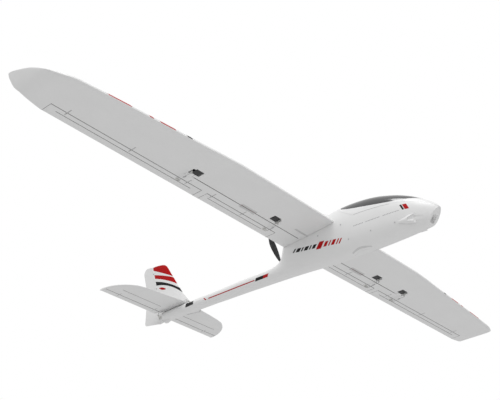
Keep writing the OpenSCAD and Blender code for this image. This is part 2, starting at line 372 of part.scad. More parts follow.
module horn_rudder() color(foam) rframe() translate([0, 0, 22]) difference() {
    union() { translate([-14, -4.9, -3.5]) cube([11, 4, 7]); linear_extrude(1.6, center = true) polygon([[-13, -4], [-4, -4], [2.2, -rud_r + 1], [1.6, -rud_r - 2.2], [-2, -rud_r - 2.4]]); }
    translate([0, -rud_r, 0]) cylinder(h = 6, r = rod_d / 2 + 0.75, center = true, $fn = 24); }

// elevator servo lies in the port side, its shaft to port
ESX = -430; ESZ = -52; EY = 24;
module servo_elevator() color(black) { translate([-450.8, 10.2, -57.8]) cube([26, 8.6, 12]); translate([ESX, 18.7, ESZ]) rotate([-90, 0, 0]) { cylinder(h = 4.2, r = 2.4, $fn = 32); cylinder(h = 6.3, r = 1.15, $fn = 24); } }
module arm_elevator() color(foam) translate([ESX, EY, ESZ]) rotate([90, 0, 0]) difference() {
    union() { cylinder(h = 1.8, r = 3, center = true, $fn = 32); translate([0, -arm_r, 0]) cylinder(h = 1.8, r = 1.9, center = true, $fn = 24);
        linear_extrude(1.8, center = true) polygon([[-2.6, 0], [2.6, 0], [1.7, -arm_r], [-1.7, -arm_r]]); }
    cylinder(h = 4, r = 1.2, center = true, $fn = 24); translate([0, -arm_r, 0]) cylinder(h = 4, r = rod_d / 2 + 0.05, center = true, $fn = 24); }
module rod_elevator() { dx = ESX - EX; dz = ESZ - TZ; L = norm([dx, dz]);
    color(steel) translate([EX, EY, TZ - arm_r]) rotate([0, -atan2(dz, dx), 0]) {
        translate([0, 3.2, 0]) rotate([0, 90, 0]) cylinder(h = L, r = rod_d / 2, $fn = 24);
        for (x = [0, L]) translate([x, x == 0 ? -1.4 : -1.7, 0]) rotate([-90, 0, 0]) cylinder(h = x == 0 ? 4.6 : 4.9, r = rod_d / 2, $fn = 24);
        for (x = [0, L]) translate([x, 3.2, 0]) sphere(rod_d / 2, $fn = 24);
        translate([L * 0.1, 3.2, 0]) rotate([0, 90, 0]) cylinder(h = 9, r = 1.9, $fn = 32); } }
module horn_elevator() color(foam) translate([EX, 24, TZ]) difference() {
    union() { translate([-12, -4, -2.9]) cube([10, 8, 1.7]); translate([0, 0.8, 0]) rotate([90, 0, 0]) linear_extrude(1.6) polygon([[-11.5, -2.5], [-3, -2.8], [2, -arm_r + 1.5], [1.5, -arm_r - 2], [-2, -arm_r - 2.2]]); }
    translate([0, 0, -arm_r]) rotate([90, 0, 0]) cylinder(h = 6, r = rod_d / 2 + 0.35, center = true, $fn = 24); }

// ---- motor and propeller, on the axis y = 0, z = 82 ----
module ax(x) translate([x, 0, 82]) rotate([0, 90, 0]) children();
module motor_mount() color(steel) difference() {
    union() { ax(-70.8) cylinder(h = 2.6, r = 14.5, $fn = 48); }
    ax(-75) cylinder(h = 12, r = 4.6, $fn = 32); for (a = [45:90:315]) translate([0, 9.5 * cos(a), 9.5 * sin(a)]) ax(-75) cylinder(h = 12, r = 1.55, $fn = 24); }
module motor_stator() color("goldenrod") difference() { union() { ax(-87) cylinder(h = 12, r = 10.4, $fn = 48); ax(-75) cylinder(h = 4.1, r = 12.5, $fn = 48); }
    ax(-90) cylinder(h = 40, r = 2.05, $fn = 32); for (a = [45:90:315]) translate([0, 9.5 * cos(a), 9.5 * sin(a)]) ax(-74) cylinder(h = 12, r = 1.25, $fn = 24); }
module motor_bell() color(black) difference() { union() { difference() { ax(-94) cylinder(h = 18, r = 14, $fn = 64); ax(-91) cylinder(h = 16, r = 10.9, $fn = 64); } ax(-112) cylinder(h = 38, r = 2, $fn = 32); ax(-94) cylinder(h = 4, r = 4.5, $fn = 32); }
    for (a = [30:60:330]) translate([0, 8.2 * cos(a), 8.2 * sin(a)]) ax(-95) cylinder(h = 5, r = 2, $fn = 24); }
module motor_screws() color(steel) for (a = [45:90:315]) translate([0, 9.5 * cos(a), 9.5 * sin(a)]) { ax(-73) cylinder(h = 12.4, r = 1.2, $fn = 24); ax(-62.9) cylinder(h = 2.3, r = 2.5, $fn = 24); }
module prop_adapter() color(steel) difference() { union() { ax(-108.6) cylinder(h = 10, r = 6, $fn = 48); ax(-124) cylinder(h = 16, r = 3, $fn = 32); } ax(-113) cylinder(h = 15, r = 2.03, $fn = 32); }
// blade rings: radius, chord, pitch angle, thickness
PB = [[5, 9, 58, 6], [13, 11, 52, 5], [24, 16.5, 42, 3.6], [36, 19.5, 33, 2.8], [50, 19.5, 26, 2.2], [64, 17, 21.5, 1.8], [76, 13.5, 18.5, 1.5], [84, 9.5, 17, 1.2], [87.6, 6, 16, 1], [89, 2.6, 16, 0.8]];
module blade() loft([for (r = [5, 9, 13, 18, 24, 30, 36, 43, 50, 57, 64, 70, 76, 80, 84, 87.6, 89]) let(c = cub(PB, r, 1), b = cub(PB, r, 2), t = cub(PB, r, 3), q = r * prop_r / 89)
    [for (p = [[0.5, 0], [0.3, 0.42], [0, 0.55], [-0.3, 0.42], [-0.5, 0.05], [-0.3, -0.22], [0, -0.3], [0.3, -0.25]]) let(y = p[0] * c, x = p[1] * t) [x * cos(b) - y * sin(b), x * sin(b) + y * cos(b) + 0.04 * (r - 5) - 0.0008 * r * r, -q]]]);
module propeller() color(black) translate([-113, 0, 82]) rotate([prop_rest, 0, 0]) difference() {
    union() { rotate([0, 90, 0]) cylinder(h = 8.4, r = 7.5, center = true, $fn = 48); scale([1, -1, 1]) blade(); rotate([180, 0, 0]) scale([1, -1, 1]) blade(); }
    rotate([0, 90, 0]) cylinder(h = 30, r = 3.04, center = true, $fn = 48); }
module prop_nut() color(steel) difference() { union() { ax(-121) cylinder(h = 3.7, r = 5.6, $fn = 6); ax(-121) rotate([180, 0, 0]) cylinder(h = 5.5, r1 = 4.6, r2 = 1.6, $fn = 48); } ax(-124.1) cylinder(h = 16, r = 3.04, $fn = 32); }

// ---- equipment inside the pod ----
module battery_tray() color("burlywood") difference() { intersection() { translate([150, -30, -96]) cube([250, 60, 2]); body_solid(wall + 0.05, 24, 130, 420); } for (x = [250, 350], s = [-1, 1]) translate([x, s * 21 - 1.3, -100]) cube([16.6, 2.6, 10]); }
module battery() color(red) translate([262, -bat_w / 2, -93.9]) cube([bat_l, bat_w, bat_h]);
module battery_strap() color(black) translate([306, 0, -94]) difference() { translate([0, -bat_w / 2 - 1.4, 0.1]) cube([16, bat_w + 2.8, bat_h + 1.4]); translate([-1, -bat_w / 2 - 0.1, -1]) cube([18, bat_w + 0.2, bat_h + 1.2]); }
module esc() color("darkslategray") translate([155, -13, -93.9]) cube([48, 26, 9]);
module receiver() color("darkslategray") translate([211, -12, -93.9]) cube([42, 24, 14]);
module servo_leads() color(black) for (s = [-1, 1]) scale([1, s, 1]) panel() translate([28.1, 34, 0.4]) cube([1, 436, 1.2]);

// screws through the sides of the pod: x, z
BS = [[187, -18], [100, -18], [209, -73], [284, -75], [362, -80]];
function side_y(x, z) = let(w = cub(FS, x, 1), zm = cub(FS, x, 3), n = z > zm ? cub(FS, x, 5) : cub(FS, x, 6), h = z > zm ? cub(FS, x, 2) - zm : zm - cub(FS, x, 4)) w * pow(1 - pow(abs(z - zm) / h, n), 1 / n);
module body_screws() color(steel) for (s = [-1, 1], p = BS) translate([p[0], s * (side_y(p[0], p[1]) + 0.4), p[1]]) rotate([s < 0 ? 90 : -90, 0, 0]) cylinder(h = 1, r = 1.7, $fn = 24);
module tail_screws() color(steel) for (x = [-534, -490]) translate([x, 0, -36.6]) cylinder(h = 28, r = 1.25, $fn = 24);

// ---- drawing ----
place() fuselage_shell();
place() motor_pylon();
place() canopy_hatch();
place() canopy_window();
place() hatch_latch();
place() hatch_magnets();
place() wing_right();
place() wing_left();
place() wing_spar_tube();
place() wing_hinges();
place() aileron_right();
place() aileron_left();
place() flap_right();
place() flap_left();
place() stabiliser();
place() fin();
place() elevator();
place() elevator_joiner();
place() rudder();
place() tail_hinges();
place() servo_aileron_right();
place() servo_aileron_left();
place() servo_flap_right();
place() servo_flap_left();
place() servo_rudder();
place() servo_elevator();
place() arm_aileron_right();
place() arm_aileron_left();
place() arm_flap_right();
place() arm_flap_left();
place() arm_rudder();
place() arm_elevator();
place() rod_aileron_right();
place() rod_aileron_left();
place() rod_flap_right();
place() rod_flap_left();
place() rod_rudder();
place() rod_elevator();
place() horn_aileron_right();
place() horn_aileron_left();
place() horn_flap_right();
place() horn_flap_left();
place() horn_rudder();
place() horn_elevator();
place() motor_mount();
place() motor_stator();
place() motor_bell();
place() motor_screws();
place() prop_adapter();
place() propeller();
place() prop_nut();
place() esc();
place() battery_tray();
place() battery();
place() battery_strap();
place() receiver();
place() servo_leads();
place() body_screws();
place() tail_screws();
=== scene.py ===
import math
import bpy
import numpy as np
from mathutils import Matrix, Vector


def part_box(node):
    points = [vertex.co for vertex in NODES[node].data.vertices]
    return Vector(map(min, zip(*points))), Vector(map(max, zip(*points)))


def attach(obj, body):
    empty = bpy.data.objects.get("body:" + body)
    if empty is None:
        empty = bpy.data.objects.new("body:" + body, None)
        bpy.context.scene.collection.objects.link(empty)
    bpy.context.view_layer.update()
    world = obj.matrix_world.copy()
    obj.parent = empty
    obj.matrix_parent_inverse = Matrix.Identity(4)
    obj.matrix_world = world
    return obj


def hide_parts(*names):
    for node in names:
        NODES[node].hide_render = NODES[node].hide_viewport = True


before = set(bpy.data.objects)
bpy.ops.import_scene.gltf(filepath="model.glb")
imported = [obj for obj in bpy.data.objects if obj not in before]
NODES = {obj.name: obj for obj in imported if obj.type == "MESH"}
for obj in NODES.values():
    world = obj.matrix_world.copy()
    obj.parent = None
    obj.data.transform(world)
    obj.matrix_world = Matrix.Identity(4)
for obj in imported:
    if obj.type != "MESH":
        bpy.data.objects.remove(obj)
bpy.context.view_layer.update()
# part drawing frame (mm) -> row frame (mm)
OX, OZ = 99.5, 110.2


# ---------------------------------------------------------------- node helpers
class G:
    """Small wrapper that writes shader maths as expressions."""

    def __init__(self, nt):
        self.nt = nt

    def node(self, kind, **kw):
        n = self.nt.nodes.new(kind)
        for k, v in kw.items():
            setattr(n, k, v)
        return n

    def m(self, op, a, b=None, c=None):
        n = self.node("ShaderNodeMath", operation=op)
        for i, v in enumerate((a, b, c)):
            if v is None:
                continue
            if isinstance(v, (int, float)):
                n.inputs[i].default_value = v
            else:
                self.nt.links.new(v, n.inputs[i])
        return n.outputs[0]

    def lin(self, a, k, c):
        return self.m("MULTIPLY_ADD", a, k, c)

    def gt(self, a, b):
        return self.m("GREATER_THAN", a, b)

    def lt(self, a, b):
        return self.m("LESS_THAN", a, b)

    def mul(self, *xs):
        r = xs[0]
        for x in xs[1:]:
            r = self.m("MULTIPLY", r, x)
        return r

    def mx(self, *xs):
        r = xs[0]
        for x in xs[1:]:
            r = self.m("MAXIMUM", r, x)
        return r

    def rng(self, a, lo, hi):
        return self.mul(self.gt(a, lo), self.lt(a, hi))

    def mix(self, fac, a, b):
        n = self.node("ShaderNodeMix", data_type="RGBA")
        for s, v in ((n.inputs[0], fac), (n.inputs[6], a), (n.inputs[7], b)):
            if isinstance(v, (int, float)):
                s.default_value = v
            elif isinstance(v, (tuple, list)):
                s.default_value = (*v[:3], 1)
            else:
                self.nt.links.new(v, s)
        return n.outputs[2]

    def fmix(self, fac, a, b):
        n = self.node("ShaderNodeMix", data_type="FLOAT")
        for s, v in ((n.inputs[0], fac), (n.inputs[2], a), (n.inputs[3], b)):
            if isinstance(v, (int, float)):
                s.default_value = v
            else:
                self.nt.links.new(v, s)
        return n.outputs[0]


def start(name):
    mat = bpy.data.materials.new(name)
    mat.use_nodes = True
    nt = mat.node_tree
    nt.nodes.clear()
    g = G(nt)
    out = g.node("ShaderNodeOutputMaterial")
    p = g.node("ShaderNodeBsdfPrincipled")
    nt.links.new(p.outputs[0], out.inputs[0])
    tc = g.node("ShaderNodeTexCoord")
    sep = g.node("ShaderNodeSeparateXYZ")
    nt.links.new(tc.outputs["Object"], sep.inputs[0])
    g.obj = tc.outputs["Object"]
    g.X = g.lin(sep.outputs[0], 1000, -OX)
    g.Y = g.lin(sep.outputs[1], 1000, 0)
    g.Z = g.lin(sep.outputs[2], 1000, -OZ)
    g.p = p
    return mat, g


def noise(g, scale, detail=4, rough=0.55, vec=None):
    n = g.node("ShaderNodeTexNoise")
    n.inputs["Scale"].default_value = scale
    n.inputs["Detail"].default_value = detail
    n.inputs["Roughness"].default_value = rough
    g.nt.links.new(vec or g.obj, n.inputs["Vector"])
    return n.outputs["Fac"]


def voro(g, scale, feature="F1"):
    n = g.node("ShaderNodeTexVoronoi", feature=feature)
    n.inputs["Scale"].default_value = scale
    g.nt.links.new(g.obj, n.inputs["Vector"])
    return n.outputs["Distance"]


def bump(g, h, strength, dist):
    b = g.node("ShaderNodeBump")
    b.inputs["Strength"].default_value = strength
    b.inputs["Distance"].default_value = dist
    g.nt.links.new(h, b.inputs["Height"])
    g.nt.links.new(b.outputs[0], g.p.inputs["Normal"])


def put(g, sock, v):
    s = g.p.inputs[sock]
    if isinstance(v, (int, float)):
        s.default_value = v
    elif isinstance(v, (tuple, list)):
        s.default_value = (*v[:3], 1)
    else:
        g.nt.links.new(v, s)


def finish(g, color, rlo, rhi, nscale=40, **kw):
    """base colour, a roughness that wanders between two values, and the constants."""
    put(g, "Base Color", color)
    n = noise(g, nscale)
    put(g, "Roughness", g.fmix(n, rlo, rhi))
    for k, v in kw.items():
        g.p.inputs[k.replace("_", " ")].default_value = v


RED = (0.44, 0.0008, 0.002)
BLACK = (0.012, 0.012, 0.013)
SHELL = (0.80, 0.80, 0.80)
FOAM = (0.80, 0.80, 0.80)
INK = (0.30, 0.30, 0.31)


# ---------------------------------------------------------------- materials
def fuselage_paint():
    """White moulded shell with plain bars and dashes where the markings sit."""
    mat, g = start("shell_white")
    X, Z, Y = g.X, g.Z, g.Y
    side = g.gt(g.m("ABSOLUTE", Y), 6.0)
    # slanted bar group on the pod side, in a frame turned 12 degrees nose down
    u = g.m("ADD", g.lin(X, 0.978, 0), g.lin(Z, -0.208, -5.8))
    v = g.m("ADD", g.lin(X, 0.208, 0), g.lin(Z, 0.978, 27.4))
    s = g.m("ADD", u, g.lin(v, -0.55, 0))
    black = 0.0
    blocks = [(3, 9, 6), (15, 30, 6), (35, 41, 6), (47, 62, 6), (67, 73, 6), (79, 92, 6)]
    ms = [g.mul(g.rng(s, a, b), g.rng(v, -h, h)) for a, b, h in blocks]
    black = g.mx(*ms)
    reds = [(99, 118, 11), (125, 137, 7.5), (143, 148, 7.5), (154, 166, 7.5), (172, 177, 7.5), (182, 187, 7.5)]
    red = g.mx(*[g.mul(g.rng(s, a, b), g.rng(v, -h, h)) for a, b, h in reds])
    # short bar and block on the nose
    sl = g.m("ADD", X, g.lin(Z, 0.45, 14.3))
    zin = g.m("ADD", Z, g.lin(X, 0.13, -49.4))
    nz = g.rng(zin, -33.0 + 2.0, -31.0 + 2.0)
    nz = g.mul(g.lt(g.m("ADD", Z, g.lin(X, 0.13, -49.45)), -31.7), g.gt(g.m("ADD", Z, g.lin(X, 0.13, -49.45)), -49.6))
    black = g.mx(black, g.mul(g.rng(sl, 380.6, 386.2), nz))
    red = g.mx(red, g.mul(g.rng(sl, 388.0, 399.5), nz))
    # line of plain dashes under the window
    t = g.m("ADD", Z, g.lin(X, 0.0604, 26.1))
    f = g.m("FRACT", g.lin(X, 1 / 4.9, 0))
    gap = g.mx(g.rng(X, 264, 271), g.rng(X, 319, 327))
    dash = g.mul(g.lt(f, 0.6), g.rng(X, 230, 379), g.rng(t, -1.15, 1.15), g.lt(gap, 0.5))
    # boom: thin line, small mark, two blocks
    bl = g.m("ADD", Z, g.lin(X, 0.0357, 73.0))
    red = g.mx(red, g.mul(g.rng(X, -353, -156), g.rng(bl, -1.6, 1.6)))
    bs = g.m("ADD", X, g.lin(Z, 0.9, 51.3))
    red = g.mx(red, g.mul(g.rng(bs, -371.5, -366.5), g.rng(Z, -62.5, -53.0)))
    bz = g.rng(g.m("ADD", Z, g.lin(X, 0.05, 6.5)), -73.6 + 6.5 - 6.8, -63 + 6.5 - 6.8)
    be = g.m("ADD", X, g.lin(Z, -0.5, -31.5))
    bz = g.rng(g.m("ADD", Z, g.lin(X, 0.04, 0)), -78.0, -67.8)
    black = g.mx(black, g.mul(g.rng(be, -150.5, -118.5), bz))
    red = g.mx(red, g.mul(g.rng(be, -118.5, -98.5), bz))
    d = g.lin(X, 1, -228)
    seam = g.m("SUBTRACT", Z, g.m("ADD", g.lin(d, -0.0465, -2.3), g.lin(g.mul(d, d), -0.0005, 0)))
    seam = g.mul(g.rng(seam, -0.7, 0.7), g.rng(X, 232, 350), side)
    red, black, dash = g.mul(red, side), g.mul(black, side), g.mul(dash, side)
    n = noise(g, 9, 3)
    base = g.mix(n, (0.79, 0.79, 0.79), (0.825, 0.825, 0.825))
    c = g.mix(g.mul(seam, 0.6), base, (0.2, 0.2, 0.2))
    # painted shade: a dark crescent on each side of the belly hump stands in for the shadow in its hollow
    ay = g.m("ABSOLUTE", Y)
    q = g.lin(X, 1 / 34.0, -236 / 34.0)
    arc = g.m("ADD", ay, g.lin(g.mul(q, q), 8.0, -21.0))
    cres = g.mul(g.rng(arc, -3.4, 1.6), g.rng(X, 203, 269), g.lt(Z, -100))
    c = g.mix(g.mul(cres, 0.34), c, (0.3, 0.3, 0.3))
    c = g.mix(dash, c, INK)
    c = g.mix(black, c, BLACK)
    c = g.mix(red, c, RED)
    finish(g, c, 0.30, 0.42, 25, Coat_Weight=0.08, Coat_Roughness=0.2)
    put(g, "Specular IOR Level", g.fmix(g.mx(red, black), 0.5, 0.12))
    h = g.m("ADD", g.lin(noise(g, 900, 2), 0.4, 0), g.lin(noise(g, 14, 2), 1.0, 0))
    bump(g, h, 0.12, 0.0004)
    return mat


def fin_paint():
    """White fin with a plain set of sweeping stripes."""
    mat, g = start("fin_striped")
    X, Z = g.X, g.Z

    def curve(x0, z0, a, b):
        d = g.lin(X, 1, -x0)
        return g.m("ADD", g.lin(d, a, z0), g.lin(g.mul(d, d), b, 0))

    cap = g.m("GREATER_THAN", g.m("SUBTRACT", Z, curve(-588, 119.1, -0.56, -0.0004)), 0)
    up = g.m("SUBTRACT", curve(-575, 104.0, -0.44, -0.0006), Z)
    low = g.m("SUBTRACT", Z, curve(-574, 87.9, -0.50, -0.0012))
    band = g.mul(g.gt(up, 0), g.gt(low, 0))
    bu = g.m("SUBTRACT", curve(-561, 71.5, -0.53, -0.0017), Z)
    bl = g.m("SUBTRACT", Z, curve(-548, 55.3, -0.55, -0.0026))
    blk = g.mul(g.gt(bu, 0), g.gt(bl, 0), g.gt(Z, 6))
    lu = g.m("ADD", g.lin(X, 1 / 19.0, 584 / 19.0), 0)
    lv = g.m("DIVIDE", g.m("ADD", Z, g.lin(X, 0.42, 584 * 0.42 - 58.5)), 4.6)
    lens = g.lt(g.m("ADD", g.mul(lu, lu), g.m("ABSOLUTE", lv)), 1.0)
    red = g.mx(cap, band, lens)
    n = noise(g, 12, 3)
    c = g.mix(n, (0.79, 0.79, 0.79), (0.82, 0.82, 0.82))
    c = g.mix(red, c, RED)
    c = g.mix(blk, c, BLACK)
    finish(g, c, 0.36, 0.48, 30)
    put(g, "Specular IOR Level", g.fmix(g.mx(red, blk), 0.45, 0.1))
    h = g.m("ADD", g.lin(voro(g, 380), 0.6, 0), g.lin(noise(g, 30, 2), 0.8, 0))
    bump(g, h, 0.14, 0.0005)
    return mat


def foam_paint(name, graphic):
    """Moulded bead foam; graphic adds plain stripes on the upper wing skin."""
    mat, g = start(name)
    n = noise(g, 16, 4)
    beads = voro(g, 330)
    c = g.mix(n, (0.77, 0.77, 0.77), (0.815, 0.815, 0.815))
    c = g.mix(g.mul(g.lt(beads, 0.12), 0.05), c, (0.6, 0.6, 0.6))
    if graphic:
        a = g.m("ABSOLUTE", g.Y)
        # height above the underside plane: the stripes stay on the upper skin
        up = g.m("SUBTRACT", g.Z, g.lin(a, 0.00768, 4.4))
        top = g.gt(up, 0)
        s1 = g.m("ADD", a, g.lin(g.X, 1.35, 0))
        s2 = g.m("ADD", a, g.lin(g.X, 0.8, 0))
        red = g.mx(g.mul(g.rng(s1, 948, 1008), g.gt(a, 640)), g.mul(g.rng(s1, 826, 870), g.gt(a, 640)), g.rng(s1, 888, 900))
        blk = g.mul(g.rng(s2, 700, 716), g.lt(a, 700))
        top = g.mul(top, g.lt(a, 925))
        c = g.mix(g.mul(red, top), c, RED)
        c = g.mix(g.mul(blk, top), c, BLACK)
        # shade that gathers in the grooves of the underside
        low = g.lt(g.m("SUBTRACT", g.Z, g.lin(a, 0.00768, 0)), 2.6)
        hinge = g.mul(g.rng(g.X, -0.8, 2.0), g.mx(g.rng(a, 105, 389), g.rng(a, 410, 918)))
        strip = g.mul(g.rng(g.X, -16.1, -14.0), g.mx(g.rng(a, 438, 892), g.rng(a, 150, 372)))
        cable = g.mul(g.rng(g.X, 27.3, 30.1), g.rng(a, 34, 466))
        ends = g.mul(g.lt(g.X, 0), g.mx(g.rng(a, 409.4, 411.0), g.rng(a, 916.6, 918.0), g.rng(a, 388.6, 390.0), g.rng(a, 104.0, 105.4)))
        cross = 0.0
        cr = [g.rng(a, y - 1.7, y + 1.7) for y in (464, 664, 869, 130, 247, 370)]
        cross = g.mul(g.mx(*cr), g.rng(g.X, -10, 17))
        pock = g.mul(g.rng(g.X, 21, 38), g.rng(a, 223, 285))
        rec = g.mul(g.rng(g.X, 54, 61), g.rng(a, 25, 82))
        c = g.mix(g.mul(g.mx(pock, rec), low, 0.45), c, (0.38, 0.38, 0.38))
        c = g.mix(g.mul(g.mx(hinge, cable, strip, ends), low, 0.80), c, (0.12, 0.12, 0.12))
        c = g.mix(g.mul(cross, low, 0.5), c, (0.16, 0.16, 0.16))
    elif name == "tail_foam":
        # painted shade in the hinge groove, strip groove and hinge slots of the tail underside
        a = g.m("ABSOLUTE", g.Y)
        low = g.lt(g.Z, -31.0)
        hinge = g.mul(g.rng(g.X, -580.8, -578.2), g.rng(a, 14, 247))
        strip = g.mul(g.rng(g.X, -546.0, -543.8), g.rng(a, 43, 207))
        cross = g.mul(g.mx(g.rng(a, 38.8, 41.2), g.rng(a, 189.8, 192.2)), g.rng(g.X, -592, -566))
        c = g.mix(g.mul(g.mx(hinge, strip), low, 0.75), c, (0.12, 0.12, 0.12))
        c = g.mix(g.mul(cross, low, 0.5), c, (0.16, 0.16, 0.16))
    finish(g, c, 0.42, 0.56, 30)
    h = g.m("ADD", g.lin(beads, 0.7, 0), g.lin(noise(g, 22, 3), 0.8, 0))
    bump(g, h, 0.16, 0.0005)
    return mat


def plain(name, c1, c2, r1, r2, ns=40, bs=500, bstr=0.1, bd=0.0002, **kw):
    mat, g = start(name)
    c = g.mix(noise(g, ns, 4), c1, c2)
    finish(g, c, r1, r2, ns * 1.7, **kw)
    bump(g, noise(g, bs, 3), bstr, bd)
    return mat


def window_paint():
    mat, g = start("window_smoked")
    c = g.mix(noise(g, 14, 3), (0.010, 0.010, 0.011), (0.022, 0.022, 0.024))
    finish(g, c, 0.10, 0.16, 30, Coat_Weight=0.6, Coat_Roughness=0.05)
    bump(g, noise(g, 18, 2), 0.05, 0.0004)
    return mat


def carbon_paint():
    mat, g = start("carbon_wrap")
    w = g.node("ShaderNodeTexWave")
    w.wave_type = "BANDS"
    w.bands_direction = "DIAGONAL"
    w.inputs["Scale"].default_value = 180
    g.nt.links.new(g.obj, w.inputs["Vector"])
    c = g.mix(w.outputs["Fac"], (0.012, 0.012, 0.013), (0.045, 0.045, 0.048))
    finish(g, c, 0.28, 0.4, 60)
    bump(g, w.outputs["Fac"], 0.2, 0.0001)
    return mat


def wood_paint():
    mat, g = start("plywood")
    mp = g.node("ShaderNodeMapping")
    mp.inputs["Scale"].default_value = (6, 60, 200)
    g.nt.links.new(g.obj, mp.inputs["Vector"])
    f = noise(g, 3, 6, 0.6, mp.outputs[0])
    c = g.mix(f, (0.42, 0.27, 0.13), (0.66, 0.48, 0.28))
    finish(g, c, 0.5, 0.68, 30)
    bump(g, f, 0.25, 0.0002)
    return mat


def strap_paint():
    mat, g = start("strap_woven")
    ck = voro(g, 900)
    c = g.mix(ck, (0.010, 0.010, 0.011), (0.05, 0.05, 0.055))
    finish(g, c, 0.8, 0.95, 60)
    bump(g, ck, 0.6, 0.0004)
    return mat


def battery_paint():
    """Shrink wrap with a plain coloured band round the middle."""
    mat, g = start("battery_wrap")
    band = g.mx(g.rng(g.X, 276, 298), g.rng(g.X, 326, 331))
    c = g.mix(noise(g, 25, 3), (0.02, 0.026, 0.05), (0.035, 0.042, 0.075))
    c = g.mix(band, c, (0.65, 0.55, 0.05))
    finish(g, c, 0.22, 0.4, 60)
    bump(g, noise(g, 60, 4), 0.3, 0.0005)
    return mat


M = {
    "fuselage": fuselage_paint(),
    "fin": fin_paint(),
    "wing": foam_paint("wing_foam_striped", True),
    "foam": foam_paint("tail_foam", False),
    "window": window_paint(),
    "carbon": carbon_paint(),
    "nylon": plain("nylon_white", (0.62, 0.62, 0.60), (0.70, 0.70, 0.68), 0.38, 0.5),
    "servo": plain("servo_case_black", (0.010, 0.010, 0.011), (0.022, 0.022, 0.024), 0.35, 0.5, 60, 700, 0.15),
    "steel": plain("steel_wire", (0.46, 0.46, 0.47), (0.58, 0.58, 0.59), 0.22, 0.38, 80, 900, 0.1, Metallic=1.0),
    "prop": plain("propeller_nylon", (0.012, 0.012, 0.013), (0.026, 0.026, 0.027), 0.3, 0.46, 50, 600, 0.12),
    "alloy": plain("turned_alloy", (0.60, 0.60, 0.62), (0.72, 0.72, 0.73), 0.2, 0.34, 60, 1200, 0.15, Metallic=1.0),
    "copper": plain("enamelled_copper", (0.42, 0.14, 0.05), (0.58, 0.22, 0.08), 0.25, 0.4, 120, 1500, 0.4, Metallic=0.8),
    "bell": plain("anodised_black", (0.02, 0.02, 0.022), (0.045, 0.045, 0.05), 0.25, 0.36, 60, 900, 0.1, Metallic=0.6),
    "wood": wood_paint(),
    "battery": battery_paint(),
    "strap": strap_paint(),
    "electronics": plain("shrink_tube_dark", (0.012, 0.015, 0.03), (0.03, 0.035, 0.06), 0.3, 0.45, 60, 300, 0.3),
    "lead_black": plain("lead_black", (0.012, 0.012, 0.012), (0.03, 0.03, 0.03), 0.4, 0.55, 90),
    "lead_red": plain("lead_red", (0.45, 0.01, 0.01), (0.55, 0.02, 0.02), 0.4, 0.55, 90),
    "lead_white": plain("lead_white", (0.6, 0.6, 0.58), (0.7, 0.7, 0.68), 0.4, 0.55, 90),
    "gasket": plain("dark_rubber", (0.015, 0.015, 0.016), (0.03, 0.03, 0.031), 0.6, 0.8, 80),
}
USE = {}
for n in NODES:
    if n in ("fuselage_shell", "motor_pylon", "canopy_hatch"):
        USE[n] = "fuselage"
    elif n == "fin":
        USE[n] = "fin"
    elif n == "rudder":
        USE[n] = "foam"
    elif n in ("wing_right", "wing_left", "aileron_right", "aileron_left", "flap_right", "flap_left"):
        USE[n] = "wing"
    elif n in ("stabiliser", "elevator"):
        USE[n] = "foam"
    elif n == "canopy_window":
        USE[n] = "window"
    elif n == "wing_spar_tube":
        USE[n] = "carbon"
    elif n in ("wing_hinges", "tail_hinges") or n.startswith(("arm_", "horn_")):
        USE[n] = "nylon"
    elif n.startswith("servo_") and n != "servo_leads":
        USE[n] = "servo"
    elif n in ("propeller", "hatch_latch"):
        USE[n] = "prop"
    elif n in ("motor_mount", "prop_adapter", "prop_nut"):
        USE[n] = "alloy"
    elif n == "motor_stator":
        USE[n] = "copper"
    elif n == "motor_bell":
        USE[n] = "bell"
    elif n == "battery_tray":
        USE[n] = "wood"
    elif n == "battery":
        USE[n] = "battery"
    elif n == "battery_strap":
        USE[n] = "strap"
    elif n in ("esc", "receiver"):
        USE[n] = "electronics"
    elif n == "servo_leads":
        USE[n] = "lead_black"
    else:
        USE[n] = "steel"

# ---------------------------------------------------------------- finish on the CAD nodes
for n, o in NODES.items():
    me = o.data
    me.materials.clear()
    me.materials.append(M[USE[n]])
    with bpy.context.temp_override(object=o, active_object=o, selected_objects=[o]):
        if me.has_custom_normals:
            bpy.ops.mesh.customdata_custom_splitnormals_clear()
    me.polygons.foreach_set("use_smooth", [True] * len(me.polygons))
    w = o.modifiers.new("weld", "WELD")
    w.merge_threshold = 0.00001
    e = o.modifiers.new("crease", "EDGE_SPLIT")
    e.split_angle = math.radians(26)
    e.use_edge_sharp = False


# ---------------------------------------------------------------- pieces built as meshes
def mesh_piece(name, verts, faces, mat, body, smooth=True):
    me = bpy.data.meshes.new(name)
    me.from_pydata([tuple(v) for v in verts], [], faces)
    me.validate()
    o = bpy.data.objects.new(name, me)
    bpy.context.scene.collection.objects.link(o)
    me.materials.append(mat)
    me.polygons.foreach_set("use_smooth", [smooth] * len(me.polygons))
    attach(o, body)
    return o


def tube(path, r, n=10):
    """Round tube with closed ends through the points."""
    path = [Vector(p) for p in path]
    vs, fs = [], []
    for i, p in enumerate(path):
        d = (path[min(i + 1, len(path) - 1)] - path[max(i - 1, 0)]).normalized()
        a = d.cross(Vector((0, 0, 1)))
        if a.length < 1e-3:
            a = d.cross(Vector((0, 1, 0)))
        a.normalize()
        b = d.cross(a)
        for k in range(n):
            t = 2 * math.pi * k / n
            vs.append(p + a * (r * math.cos(t)) + b * (r * math.sin(t)))
    for i in range(len(path) - 1):
        for k in range(n):
            fs.append((i * n + k, i * n + (k + 1) % n, (i + 1) * n + (k + 1) % n, (i + 1) * n + k))
    fs.append(tuple(range(n - 1, -1, -1)))
    fs.append(tuple(range((len(path) - 1) * n, len(path) * n)))
    return vs, fs


def P(x, y, z):
    """drawing frame in mm -> row frame in metres."""
    return Vector(((x + OX) / 1000, y / 1000, (z + OZ) / 1000))


